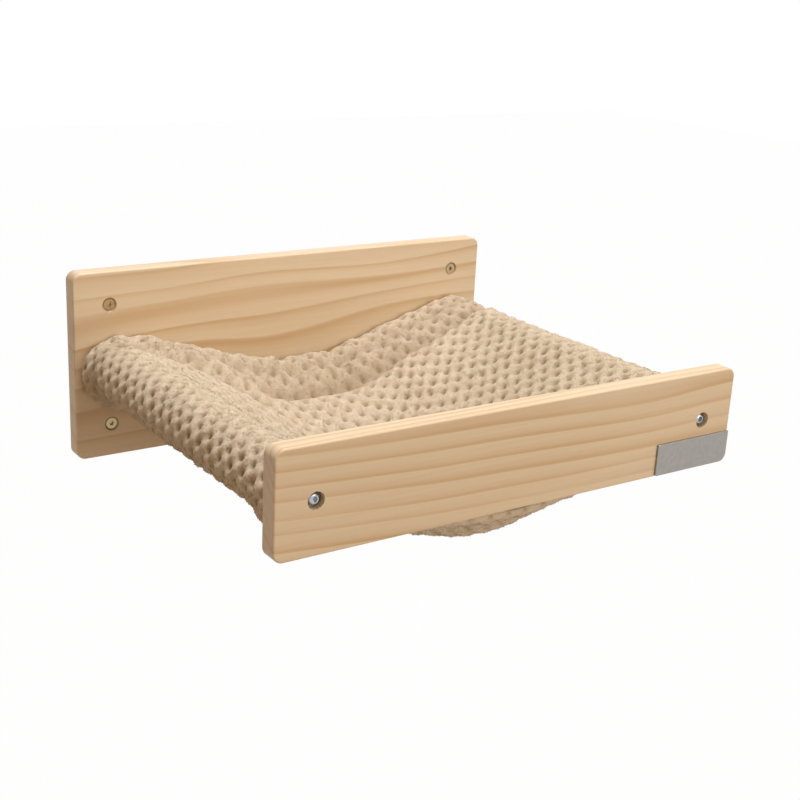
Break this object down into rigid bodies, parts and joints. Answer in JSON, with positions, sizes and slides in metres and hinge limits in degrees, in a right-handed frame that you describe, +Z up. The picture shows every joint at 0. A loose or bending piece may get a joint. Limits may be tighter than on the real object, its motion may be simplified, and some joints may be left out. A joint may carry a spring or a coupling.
{
  "type": "wall-mounted cat hammock",
  "caption": "Wall-mounted cat hammock: a plush cloth sling hung on wooden rods between a tall wall board and a low front board.",
  "frame": {"origin": "centre of the wall board's back face, where it meets the wall", "axes": "+X along the boards to the right as seen from the room, +Y into the wall, +Z up"},
  "size_m": [0.42, 0.3979, 0.19],
  "materials": {
    "pine": "clear satin lacquer on planed pine",
    "pine_rod": "smooth turned pine",
    "plush_cloth": "deep embossed plush",
    "zinc_steel": "bright zinc plated",
    "yellow_zinc": "yellow passivated zinc",
    "satin_metal": "satin nickel plate"
  },
  "bodies": {
    "root": {"wall_board": "pine", "front_board": "pine", "rod_left": "pine_rod", "rod_right": "pine_rod", "sling_upper_cloth": "plush_cloth", "sling_lower_cloth": "plush_cloth", "badge_plate": "satin_metal", "front_bolt_left": "zinc_steel", "front_washer_left": "zinc_steel", "front_insert_left": "yellow_zinc", "rear_bolt_left": "zinc_steel", "rear_washer_left": "zinc_steel", "rear_insert_left": "yellow_zinc", "wall_screw_upper_left": "yellow_zinc", "wall_screw_lower_left": "yellow_zinc", "front_bolt_right": "zinc_steel", "front_washer_right": "zinc_steel", "front_insert_right": "yellow_zinc", "rear_bolt_right": "zinc_steel", "rear_washer_right": "zinc_steel", "rear_insert_right": "yellow_zinc", "wall_screw_upper_right": "yellow_zinc", "wall_screw_lower_right": "yellow_zinc"}
  },
  "joints": []
}
